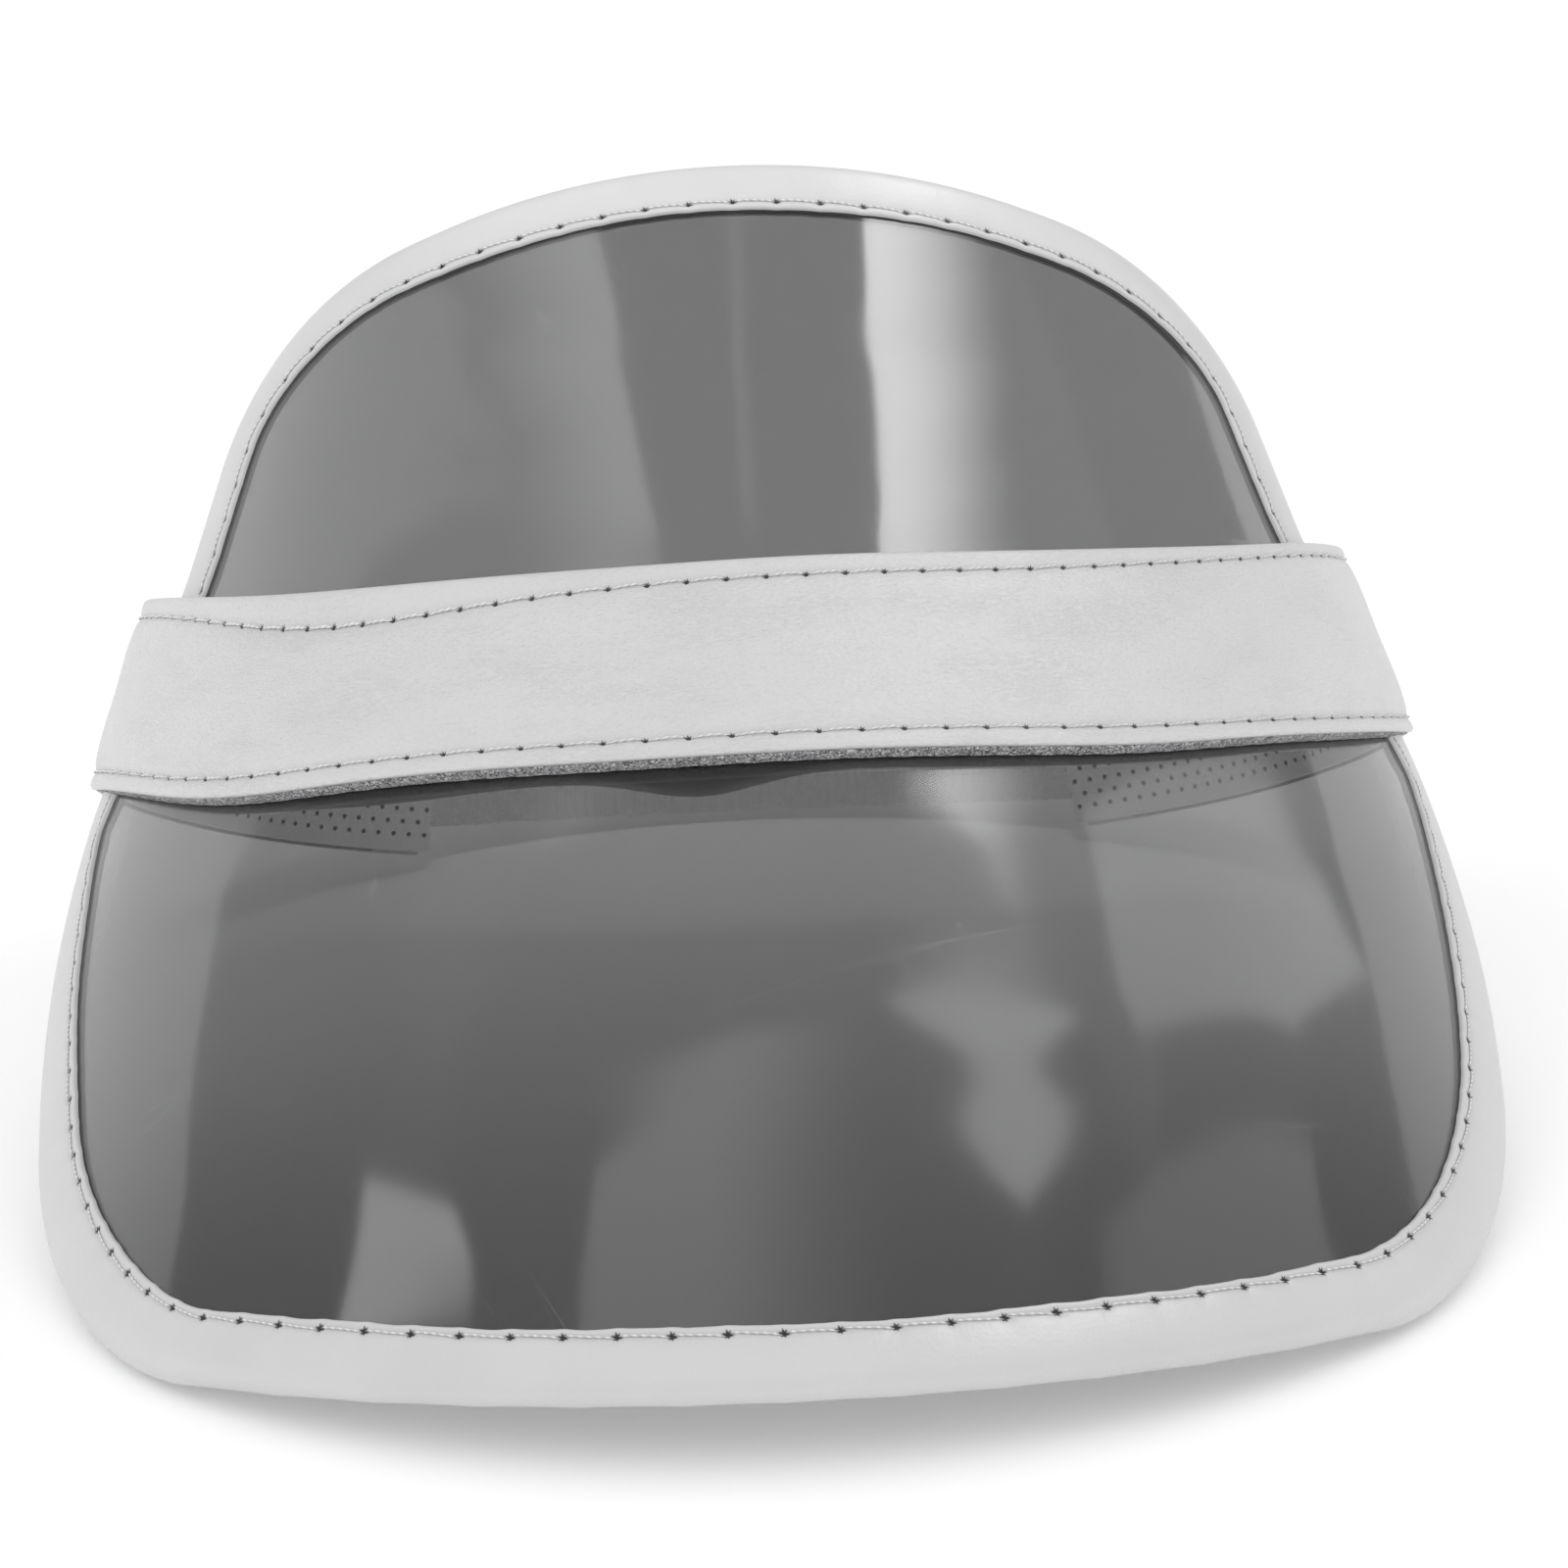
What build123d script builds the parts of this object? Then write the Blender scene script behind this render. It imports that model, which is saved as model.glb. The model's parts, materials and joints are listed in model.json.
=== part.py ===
from build123d import *
import math
import os

# A translucent sun visor: one leaning conical sheet with an arch and a brim, a padded band
# round the head, two tails and a rear elastic. Everything is drawn in the head's own frame:
# the middle of the band lies in the XY plane, the wearer looks along -Y, millimetres.
# The finished visor is then tipped back until it rests on the brim and the tails.

# Cone that every layer follows. Layers are given by their distance outside the sheet.
HALF_ANGLE = 12.0
LEAN = 30.0
SHEET_HALF_WIDTH = 84.5

# Outline of the sheet with its binding. Each corner is an angle round the head from straight
# ahead, in degrees, and a height above the middle of the band.
CROWN_TOP = 65.5
CROWN_RADIUS = 120.0
SHOULDER = (62.0, 51.0)
SHOULDER_RADIUS = 43.0
WAIST = (64.7, 11.5)
WAIST_RADIUS = 56.0
HIP = (81.2, -21.5)
HIP_RADIUS = 40.0
SIDE = (68.7, -43.7)
SIDE_RADIUS = 80.0
CORNER = (53.4, -72.5)
CORNER_RADIUS = 23.0

# Sheet and binding. The sheet stops in front of the temples.
RIM_REAR = -13.0
SHEET_THICKNESS = 0.6
BINDING_WIDTH = 8.5
TAPE_THICKNESS = 0.8

# Band layers. The foam is as thick as the slot that the elastic needs in the tails.
BAND_WIDTH = 30.0
COVER_THICKNESS = 0.9
LINING_THICKNESS = 1.5

# Tails and rear elastic.
HINGE_AZIMUTH = 84.0
HINGE_GAP = 0.4
TAIL_DROP_SLOPE = 9.2
TAIL_END_HALF_CHORD = 48.5
ELASTIC_WIDTH = 20.5
ELASTIC_THICKNESS = 1.2
ELASTIC_TUCK = 9.0
ELASTIC_CLEARANCE = 0.2
ELASTIC_RAISE = 2.8

# Seams.
STITCH_PITCH = 5.6
STITCH_LENGTH = 3.6
BAND_STITCH_PITCH = 4.7
BAND_STITCH_LENGTH = 3.0
BAND_STITCH_INSET = 3.0
THREAD = 0.5
THREAD_SUNK = 0.15
BINDING_STITCH_INSET = 7.4
TACK_INSETS = (3.0, 6.5)
TACK_PITCH = 3.6
TACK_LENGTH = 2.8

# Room for cutting solids, and the stretch of cone in use as shares of the apex height.
BIG = 500.0
CONE_NEAR = 0.85
CONE_FAR = 1.8

# How finely the seam lines are walked, and how often a fitted value is refined.
RIM_STEPS = 900
BAND_STEPS = 240
TAIL_STEPS = 120
TACK_STEPS = 24
REFINE_STEPS = 8

sin_a = math.sin(math.radians(HALF_ANGLE))
cos_a = math.cos(math.radians(HALF_ANGLE))
front_slope = math.tan(math.radians(LEAN + HALF_ANGLE))
rear_slope = math.tan(math.radians(LEAN - HALF_ANGLE))
roundness = math.sqrt(1 - (math.sin(math.radians(LEAN)) / cos_a) ** 2)
apex_height = SHEET_HALF_WIDTH / ((front_slope - rear_slope) / 2 * roundness)
half_depth = apex_height * (front_slope - rear_slope) / 2
apex_y = apex_height * (front_slope + rear_slope) / 2
axis = Vector(0, -math.sin(math.radians(LEAN)), -math.cos(math.radians(LEAN)))
apex = Vector(0, apex_y, apex_height)
depth_ratio = half_depth / SHEET_HALF_WIDTH


def front_y(x, z):
    """Depth of the sheet's outer face at a place seen from the front."""
    share = (apex_height - z) / apex_height
    across = math.sqrt((SHEET_HALF_WIDTH * share) ** 2 - x * x)
    return apex_y * (1 - share) - depth_ratio * across


def ring_point(azimuth, z):
    """Point of the sheet's cone at a height, by its angle from straight ahead."""
    share = (apex_height - z) / apex_height
    angle = math.radians(azimuth)
    x = SHEET_HALF_WIDTH * share * math.sin(angle)
    y = apex_y * (1 - share) - half_depth * share * math.cos(angle)
    return Vector(x, y, z)


def normal_at(point):
    """Outward normal of the cone."""
    arm = point - apex
    radial = (arm - axis * arm.dot(axis)).normalized()
    return radial * cos_a - axis * sin_a


def front_gradient(x, z):
    """How the sheet's depth changes across and up, at a place seen from the front."""
    share = (apex_height - z) / apex_height
    across = math.sqrt((SHEET_HALF_WIDTH * share) ** 2 - x * x)
    rise = SHEET_HALF_WIDTH**2 * share / apex_height
    return depth_ratio * x / across, apex_y / apex_height + depth_ratio * rise / across


def cone(offset):
    """Solid cone, offset outward from the sheet's outer face."""
    near = apex_height * CONE_NEAR
    far = apex_height * CONE_FAR
    tip = apex - axis * (offset / sin_a)
    spread = math.tan(math.radians(HALF_ANGLE))
    base = Plane(origin=tip + axis * near, z_dir=axis)
    return Solid.make_cone(near * spread, far * spread, far - near, base)


def layer(inner, outer):
    """Conical shell between two distances outside the sheet."""
    return cone(outer) - cone(inner)


def beyond(origin, direction):
    """Block that fills everything past a plane."""
    block = Box(BIG * 2, BIG * 2, BIG, align=(Align.CENTER, Align.CENTER, Align.MIN))
    return Plane(origin=origin, z_dir=direction) * block


def outline_corners():
    """Corners and radii of the rim seen from the front, right side from the top down."""
    turns = [SHOULDER, WAIST, HIP, SIDE, CORNER]
    corners = [(ring_point(azimuth, z).X, z) for azimuth, z in turns]
    peak = CROWN_TOP
    for _ in range(REFINE_STEPS):
        slope = math.atan2(peak - corners[0][1], corners[0][0])
        peak = CROWN_TOP + CROWN_RADIUS * (1 / math.cos(slope) - 1)
    corners.insert(0, (0.0, peak))
    radii = [CROWN_RADIUS, SHOULDER_RADIUS, -WAIST_RADIUS, HIP_RADIUS, SIDE_RADIUS, CORNER_RADIUS]
    return corners, radii


def edge_inset(start, end, width):
    """Inset seen from the front that gives a true width on the leaning sheet."""
    length = math.dist(start, end)
    nx = (end[1] - start[1]) / length
    nz = -(end[0] - start[0]) / length
    inset = 0.0
    for _ in range(REFINE_STEPS):
        mx = (start[0] + end[0]) / 2 + nx * inset / 2
        mz = (start[1] + end[1]) / 2 + nz * inset / 2
        gx, gz = front_gradient(mx, mz)
        steep = (gx * nx + gz * nz) ** 2 / (1 + gx * gx + gz * gz)
        inset = width * math.sqrt(1 - steep)
    return (start[0] + nx * inset, start[1] + nz * inset), (nx, nz), inset


def crossing(line_a, line_b):
    """Where two inset edges meet; each is a point and an inward normal."""
    (px, pz), (ax, az), _ = line_a
    (qx, qz), (bx, bz), _ = line_b
    ca = ax * px + az * pz
    cb = bx * qx + bz * qz
    det = ax * bz - az * bx
    return (ca * bz - cb * az) / det, (ax * cb - bx * ca) / det


def outline_wire(width):
    """Rim outline inset by a true width, as a closed wire in the XZ plane."""
    corners, radii = outline_corners()
    left = [(-x, z) for x, z in reversed(corners[1:])]
    ring = corners + left
    sizes = radii + list(reversed(radii[1:]))
    count = len(ring)
    edges = [edge_inset(ring[i], ring[(i + 1) % count], width) for i in range(count)]
    moved = [crossing(edges[i - 1], edges[i]) for i in range(count)]
    turns = [turn_angle(moved[i - 1], moved[i], moved[(i + 1) % count]) for i in range(count)]
    wanted = []
    for i, size in enumerate(sizes):
        inward = (edges[i - 1][2] + edges[i][2]) / 2
        wanted.append(max(size - inward if size > 0 else inward - size, THREAD))
    reach = [wanted[i] * math.tan(turns[i] / 2) for i in range(count)]
    fitted = []
    for i in range(count):
        after = (i + 1) % count
        room_before = math.dist(moved[i - 1], moved[i]) / (reach[i - 1] + reach[i])
        room_after = math.dist(moved[i], moved[after]) / (reach[i] + reach[after])
        fitted.append(wanted[i] * min(1, 0.98 * room_before, 0.98 * room_after))
    return FilletPolyline(*moved, radius=fitted, close=True)


def turn_angle(a, b, c):
    """Angle that a path turns through at b."""
    first = math.atan2(b[1] - a[1], b[0] - a[0])
    second = math.atan2(c[1] - b[1], c[0] - b[0])
    turn = abs(second - first) % (2 * math.pi)
    return min(turn, 2 * math.pi - turn)


def rim_prism(width):
    """Everything inside the inset rim, from the head forward."""
    face = Pos(0, RIM_REAR, 0) * (Plane.XZ * make_face(outline_wire(width)))
    return extrude(face, BIG, dir=(0, -1, 0))


def band_edge_height(y, side):
    """Height of the front band's edge: it leans a little so the strip keeps its width."""
    front = BAND_WIDTH / 2 * math.cos(math.radians(LEAN + HALF_ANGLE))
    temple = BAND_WIDTH / 2 * math.cos(math.radians(LEAN))
    return side * (temple + (temple - front) * y / half_depth)


def band_slab():
    """Everything between the front band's two edges."""
    slab = None
    for side in (1, -1):
        middle = Vector(0, 0, band_edge_height(0, side))
        front = Vector(0, -half_depth, band_edge_height(-half_depth, side))
        along = (middle - front).normalized()
        down = Vector(1, 0, 0).cross(along) * -side
        kept = beyond(middle, down)
        slab = kept if slab is None else slab & kept
    return slab


def tail_edge_height(y, side):
    """Height of a tail's edge, falling towards the back."""
    temple = BAND_WIDTH / 2 * math.cos(math.radians(LEAN))
    return side * temple - (y - hinge.Y) * math.tan(math.radians(TAIL_DROP_SLOPE))


def tail_slab():
    """Everything between the tails' two edges."""
    slope = math.radians(TAIL_DROP_SLOPE)
    up = Vector(0, math.sin(slope), math.cos(slope))
    top = beyond(Vector(0, hinge.Y, tail_edge_height(hinge.Y, 1)), up * -1)
    bottom = beyond(Vector(0, hinge.Y, tail_edge_height(hinge.Y, -1)), up)
    return top & bottom


hinge = ring_point(HINGE_AZIMUTH, 0)
hinge_radial = (hinge - apex) - axis * (hinge - apex).dot(axis)
hinge_across = axis.cross(hinge_radial).normalized()
if hinge_across.Y < 0:
    hinge_across = hinge_across * -1


def front_part(gap):
    """Everything in front of both hinge lines."""
    kept = beyond(hinge - hinge_across * gap, hinge_across * -1)
    return kept & mirror(kept, Plane.YZ)


def right_rear_part(gap, half_chord):
    """Everything behind the right hinge line and outside a half chord."""
    return beyond(hinge + hinge_across * gap, hinge_across) & beyond((half_chord, 0, 0), (1, 0, 0))


def stitch(length, depth):
    """One stitch: a bar that lies on the face, with a leg at one end going in."""
    bar = Box(length, THREAD, THREAD, align=(Align.CENTER, Align.CENTER, Align.MIN))
    leg = Box(THREAD, THREAD, depth, align=(Align.MIN, Align.CENTER, Align.MAX))
    joined = bar + Pos(-length / 2, 0, 0) * leg
    return Pos(0, 0, -THREAD_SUNK) * joined


def seam(path, offset, pitch, length, depth, flip=False):
    """Row of stitches along a path on the cone, at an even pitch."""
    steps = [(path[i + 1] - path[i]).length for i in range(len(path) - 1)]
    count = max(1, round(sum(steps) / pitch))
    even = sum(steps) / count
    model = stitch(length, depth)
    rows = []
    walked = 0.0
    due = even / 2
    for i, step in enumerate(steps):
        while walked + step >= due and len(rows) < count:
            spot = path[i] + (path[i + 1] - path[i]) * ((due - walked) / step)
            outward = normal_at(spot)
            along = (path[i + 1] - path[i]).normalized()
            facing = outward * -1 if flip else outward
            frame = Plane(origin=spot + outward * offset, x_dir=along, z_dir=facing)
            rows.append(frame.location * model)
            due += even
        walked += step
    return rows


def rim_path(inset):
    """Points along a line that keeps a true inset from the rim."""
    wire = outline_wire(inset)
    spots = [wire.position_at(i / RIM_STEPS) for i in range(RIM_STEPS + 1)]
    return [Vector(p.X, front_y(p.X, p.Y), p.Y) for p in spots]


def band_path(side):
    """Points along the front band, a stitch inset inside one edge."""
    points = []
    for i in range(BAND_STEPS + 1):
        azimuth = (2 * i / BAND_STEPS - 1) * (HINGE_AZIMUTH - 1)
        level = ring_point(azimuth, 0)
        height = band_edge_height(level.Y, side) * (1 - 2 * BAND_STITCH_INSET / BAND_WIDTH)
        points.append(ring_point(azimuth, height))
    return points


def last_stitch_azimuth():
    """Angle from straight ahead at which a tail's edge seams stop, short of the tacks."""
    reach = TAIL_END_HALF_CHORD + max(TACK_INSETS) + BAND_STITCH_LENGTH
    return 180 - math.degrees(math.asin(reach / SHEET_HALF_WIDTH))


def tail_path(side):
    """Points along the right tail, a stitch inset inside one edge."""
    points = []
    start = HINGE_AZIMUTH + 1
    for i in range(TAIL_STEPS + 1):
        azimuth = start + (last_stitch_azimuth() - start) * i / TAIL_STEPS
        level = ring_point(azimuth, 0)
        middle = tail_edge_height(level.Y, 0)
        half = tail_edge_height(level.Y, side) - middle
        points.append(ring_point(azimuth, middle + half * (1 - 2 * BAND_STITCH_INSET / BAND_WIDTH)))
    return points


def group(solids):
    """Separate solids kept together in one node."""
    return Compound(children=[Part() + s for s in solids])


# Sheet, and the tape folded over its rim.
sheet_inside = -SHEET_THICKNESS
tape_inside = sheet_inside - TAPE_THICKNESS
visor_sheet = layer(sheet_inside, 0) & rim_prism(TAPE_THICKNESS)
folded_tape = layer(tape_inside, TAPE_THICKNESS) & rim_prism(0)
edge_binding = folded_tape - rim_prism(BINDING_WIDTH) - visor_sheet

# Front band: cover and foam outside the sheet, sweatband lining inside it.
cover_inside = ELASTIC_THICKNESS + 2 * ELASTIC_CLEARANCE
cover_outside = cover_inside + COVER_THICKNESS
lining_inside = sheet_inside - LINING_THICKNESS
front = band_slab() & front_part(HINGE_GAP / 2)
band_cover = layer(cover_inside, cover_outside) & front
band_foam = (layer(0, cover_inside) & front) - edge_binding
sweatband_lining = (layer(lining_inside, sheet_inside) & front) - edge_binding

# Right tail: the same layers, with a slot for the elastic where the foam stops short.
tail = tail_slab() & right_rear_part(HINGE_GAP / 2, TAIL_END_HALF_CHORD)
foamed = tail_slab() & right_rear_part(HINGE_GAP / 2, TAIL_END_HALF_CHORD + ELASTIC_TUCK)
right_tail_cover = layer(cover_inside, cover_outside) & tail
right_tail_foam = layer(0, cover_inside) & foamed
right_tail_lining = layer(-LINING_THICKNESS, 0) & tail

# Rear elastic: level strip, tucked between the tails' cover and lining.
end_azimuth = 180 - math.degrees(math.asin(TAIL_END_HALF_CHORD / SHEET_HALF_WIDTH))
elastic_middle = tail_edge_height(ring_point(end_azimuth, 0).Y, 0) + ELASTIC_RAISE
elastic_top = beyond((0, 0, elastic_middle + ELASTIC_WIDTH / 2), (0, 0, -1))
elastic_bottom = beyond((0, 0, elastic_middle - ELASTIC_WIDTH / 2), (0, 0, 1))
tuck_end = TAIL_END_HALF_CHORD + ELASTIC_TUCK - ELASTIC_CLEARANCE
between = beyond((tuck_end, 0, 0), (-1, 0, 0)) & beyond((-tuck_end, 0, 0), (1, 0, 0))
behind = beyond((0, 0, 0), (0, 1, 0))
strip = elastic_top & elastic_bottom & between & behind
rear_elastic = layer(ELASTIC_CLEARANCE, ELASTIC_CLEARANCE + ELASTIC_THICKNESS) & strip

# Seams. The binding's two threads meet in the middle of the sheet.
rim_line = rim_path(BINDING_STITCH_INSET)
half_stack = TAPE_THICKNESS + SHEET_THICKNESS / 2 - THREAD_SUNK * 1.5
binding_needle_thread = group(
    seam(rim_line, TAPE_THICKNESS, STITCH_PITCH, STITCH_LENGTH, half_stack)
)
binding_bobbin_thread = group(
    seam(rim_line, tape_inside, STITCH_PITCH, STITCH_LENGTH, half_stack, flip=True)
)
band_threads = {}
for name, side in (("band_upper_thread", 1), ("band_lower_thread", -1)):
    stitches = seam(
        band_path(side), cover_outside, BAND_STITCH_PITCH, BAND_STITCH_LENGTH, COVER_THICKNESS
    )
    band_threads[name] = group(stitches)
tail_rows = []
for side in (1, -1):
    tail_rows += seam(
        tail_path(side), cover_outside, BAND_STITCH_PITCH, BAND_STITCH_LENGTH, COVER_THICKNESS
    )
right_tail_thread = group(tail_rows)


def tack_path(inset):
    """Points up the right tail, a little in from its end, where the elastic is sewn."""
    points = []
    for i in range(TACK_STEPS + 1):
        z = elastic_middle + ELASTIC_WIDTH * (i / TACK_STEPS - 0.5)
        reach = SHEET_HALF_WIDTH * (apex_height - z) / apex_height
        azimuth = 180 - math.degrees(math.asin((TAIL_END_HALF_CHORD + inset) / reach))
        points.append(ring_point(azimuth, z))
    return points


tacks = []
for inset in TACK_INSETS:
    tacks += seam(tack_path(inset), cover_outside, TACK_PITCH, TACK_LENGTH, COVER_THICKNESS)
right_join_thread = group(tacks)

nodes = {
    "visor_sheet": visor_sheet,
    "edge_binding": edge_binding,
    "binding_needle_thread": binding_needle_thread,
    "binding_bobbin_thread": binding_bobbin_thread,
    "band_cover": band_cover,
    "band_foam": band_foam,
    "sweatband_lining": sweatband_lining,
    "band_upper_thread": band_threads["band_upper_thread"],
    "band_lower_thread": band_threads["band_lower_thread"],
    "rear_elastic": rear_elastic,
}
right_tail = {
    "tail_cover": right_tail_cover,
    "tail_foam": right_tail_foam,
    "tail_lining": right_tail_lining,
    "tail_thread": right_tail_thread,
    "join_thread": right_join_thread,
}
for name, solid in right_tail.items():
    nodes["right_" + name] = solid
    nodes["left_" + name] = mirror(solid, Plane.YZ)


def resting_slope():
    """Slope of the line that touches the brim in front and the tails behind."""
    brim = [p + normal_at(p) * side for p in rim_path(0) for side in (tape_inside, TAPE_THICKNESS)]
    tails = [v.center() for v in right_tail_cover.vertices() + right_tail_lining.vertices()]
    slope = 0.0
    for _ in range(REFINE_STEPS):
        rear = min(tails, key=lambda p: p.Z - slope * p.Y)
        slope = max((rear.Z - p.Z) / (rear.Y - p.Y) for p in brim if p.Z < rear.Z)
    return slope


tip = math.degrees(math.atan(resting_slope()))
tipped = {name: Rot(X=-tip) * solid for name, solid in nodes.items()}
boxes = [solid.bounding_box() for solid in tipped.values()]
middle_y = (min(b.min.Y for b in boxes) + max(b.max.Y for b in boxes)) / 2
lowest = min(b.min.Z for b in boxes)
place = Pos(0, -middle_y, -lowest) * Rot(X=-tip)

os.makedirs("parts", exist_ok=True)
for name, solid in nodes.items():
    export_step(place * solid, f"parts/{name}.step")

hinge_top = place * Pos(hinge + normal_at(hinge) * cover_outside)
print("tip", round(tip, 3), "shift", round(-middle_y, 3), round(-lowest, 3))
print("right hinge at", hinge_top.position)
print("right hinge direction", (Rot(X=-tip) * Pos((apex - hinge).normalized())).position)
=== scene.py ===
"""Looks of a smoke-grey sun visor: sheet, bound rim, padded band, tails, elastic and seams.

Every piece is laid out in the head's own frame in millimetres (the middle of the band lies
level, the wearer looks along -Y), wrapped on the leaning cone that the sheet is bent to, and
then tipped to where the visor rests.
"""

import json
import math

import bpy
import numpy as np
from mathutils import Matrix, Vector
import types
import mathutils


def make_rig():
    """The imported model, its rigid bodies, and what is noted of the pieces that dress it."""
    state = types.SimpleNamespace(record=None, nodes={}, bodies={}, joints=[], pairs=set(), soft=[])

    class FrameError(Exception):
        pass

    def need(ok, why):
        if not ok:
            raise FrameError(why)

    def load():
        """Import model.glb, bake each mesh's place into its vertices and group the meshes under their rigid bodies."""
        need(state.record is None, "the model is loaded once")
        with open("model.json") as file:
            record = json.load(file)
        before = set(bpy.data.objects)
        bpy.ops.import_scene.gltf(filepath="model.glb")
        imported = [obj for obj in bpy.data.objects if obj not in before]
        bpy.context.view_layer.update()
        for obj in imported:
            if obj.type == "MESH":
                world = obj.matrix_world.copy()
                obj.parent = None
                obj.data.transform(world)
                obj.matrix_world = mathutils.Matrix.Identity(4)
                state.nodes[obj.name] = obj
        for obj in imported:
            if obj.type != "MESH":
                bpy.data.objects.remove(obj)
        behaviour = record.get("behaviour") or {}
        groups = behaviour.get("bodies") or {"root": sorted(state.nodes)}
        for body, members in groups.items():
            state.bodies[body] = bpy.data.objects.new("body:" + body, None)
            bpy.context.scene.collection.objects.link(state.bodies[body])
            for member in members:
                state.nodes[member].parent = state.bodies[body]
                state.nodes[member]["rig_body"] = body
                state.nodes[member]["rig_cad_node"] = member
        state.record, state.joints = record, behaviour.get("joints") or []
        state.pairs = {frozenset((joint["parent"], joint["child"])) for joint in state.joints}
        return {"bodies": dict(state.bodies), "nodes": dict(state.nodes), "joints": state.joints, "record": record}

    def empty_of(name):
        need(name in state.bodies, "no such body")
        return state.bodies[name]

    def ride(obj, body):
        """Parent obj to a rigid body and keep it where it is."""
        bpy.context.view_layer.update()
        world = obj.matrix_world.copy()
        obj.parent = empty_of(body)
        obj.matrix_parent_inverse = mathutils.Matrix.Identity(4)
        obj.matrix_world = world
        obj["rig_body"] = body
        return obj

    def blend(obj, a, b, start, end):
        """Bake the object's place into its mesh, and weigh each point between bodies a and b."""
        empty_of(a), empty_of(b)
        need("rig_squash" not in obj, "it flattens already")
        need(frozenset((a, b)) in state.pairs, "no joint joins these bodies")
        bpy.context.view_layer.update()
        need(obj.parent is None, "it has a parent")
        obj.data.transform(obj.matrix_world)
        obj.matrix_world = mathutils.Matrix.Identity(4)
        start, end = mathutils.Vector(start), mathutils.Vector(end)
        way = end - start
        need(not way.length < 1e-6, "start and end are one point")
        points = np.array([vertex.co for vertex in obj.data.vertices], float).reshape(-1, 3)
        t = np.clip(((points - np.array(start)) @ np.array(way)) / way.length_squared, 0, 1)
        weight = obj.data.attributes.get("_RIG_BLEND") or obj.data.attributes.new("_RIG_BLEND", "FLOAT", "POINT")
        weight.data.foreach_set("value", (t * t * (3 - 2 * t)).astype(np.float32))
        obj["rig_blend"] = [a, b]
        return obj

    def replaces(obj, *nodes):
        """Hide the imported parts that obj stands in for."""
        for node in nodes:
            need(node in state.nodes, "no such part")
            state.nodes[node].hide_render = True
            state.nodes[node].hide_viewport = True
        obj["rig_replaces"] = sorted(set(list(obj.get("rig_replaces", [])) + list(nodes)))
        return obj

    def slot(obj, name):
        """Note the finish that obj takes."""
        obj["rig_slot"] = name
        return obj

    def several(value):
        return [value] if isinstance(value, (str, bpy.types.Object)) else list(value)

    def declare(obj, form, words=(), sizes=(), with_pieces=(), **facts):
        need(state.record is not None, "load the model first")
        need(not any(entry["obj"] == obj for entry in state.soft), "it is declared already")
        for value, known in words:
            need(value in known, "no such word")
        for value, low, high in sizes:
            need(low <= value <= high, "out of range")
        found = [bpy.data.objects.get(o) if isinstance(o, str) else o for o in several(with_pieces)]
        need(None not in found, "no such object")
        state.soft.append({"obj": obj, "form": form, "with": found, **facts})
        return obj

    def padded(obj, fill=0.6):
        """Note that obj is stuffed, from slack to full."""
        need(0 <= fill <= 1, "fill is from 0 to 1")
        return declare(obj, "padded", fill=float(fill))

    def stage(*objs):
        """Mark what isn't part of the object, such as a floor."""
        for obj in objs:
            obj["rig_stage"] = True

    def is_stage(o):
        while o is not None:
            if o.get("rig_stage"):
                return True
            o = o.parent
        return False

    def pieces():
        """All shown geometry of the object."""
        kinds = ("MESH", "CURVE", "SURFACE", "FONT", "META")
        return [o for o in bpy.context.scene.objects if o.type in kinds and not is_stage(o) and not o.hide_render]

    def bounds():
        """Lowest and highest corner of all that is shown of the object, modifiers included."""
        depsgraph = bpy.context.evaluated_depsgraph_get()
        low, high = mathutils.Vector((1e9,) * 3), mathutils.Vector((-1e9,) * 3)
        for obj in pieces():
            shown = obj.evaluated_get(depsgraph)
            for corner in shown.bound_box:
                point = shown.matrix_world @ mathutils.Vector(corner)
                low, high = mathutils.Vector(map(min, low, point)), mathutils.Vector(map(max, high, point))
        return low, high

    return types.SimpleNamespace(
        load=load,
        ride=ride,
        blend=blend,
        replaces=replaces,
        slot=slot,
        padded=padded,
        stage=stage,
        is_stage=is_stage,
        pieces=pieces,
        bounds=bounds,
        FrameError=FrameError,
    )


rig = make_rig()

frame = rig.load()
cad_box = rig.bounds()

# ---- Sizes, in millimetres and degrees -------------------------------------------------

MM = 0.001  # metres
HALF_ANGLE = math.radians(12.0)
LEAN = math.radians(30.0)
HALF_WIDTH = 84.5
HINGE = 84.0
BAND_WIDTH = 30.0
HALF_BAND = BAND_WIDTH / 2
SHEET_THICKNESS, SHEET_INSET = 0.6, 1.0
COVER_INSIDE, COVER_OUTSIDE = 1.6, 2.5
LINING_THICKNESS = 1.5
TAIL_FALL = math.tan(math.radians(9.2))
TAIL_END = 48.5
TAIL_LENGTH, TAIL_EASE = 91.0, 9.0
TAIL_BEND = 16.0  # how far behind the hinge a tail is fully bent
ELASTIC_END = 57.3
ELASTIC_MIDDLE, ELASTIC_WIDTH, ELASTIC_RIB = -11.7, 20.5, 1.55
BAND_PITCH, BAND_SEAM = 4.7, 12.0
RIM_PITCH, RIM_SEAM = 5.6, 7.4
FREE_STITCHES = 2  # left out at a tail's end, where the elastic goes in
TACK_PITCH, TACK_COUNT, TACK_INSETS = 3.6, 6, (3.0, 6.5)
RIM_THREAD, BAND_THREAD = 0.11, 0.14  # radius
RIM_THREAD_LEVEL = 0.63  # above the sheet, where the tape is drawn in
DOT_PITCH, DOT_ROW = 3.0, 2.4

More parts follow.
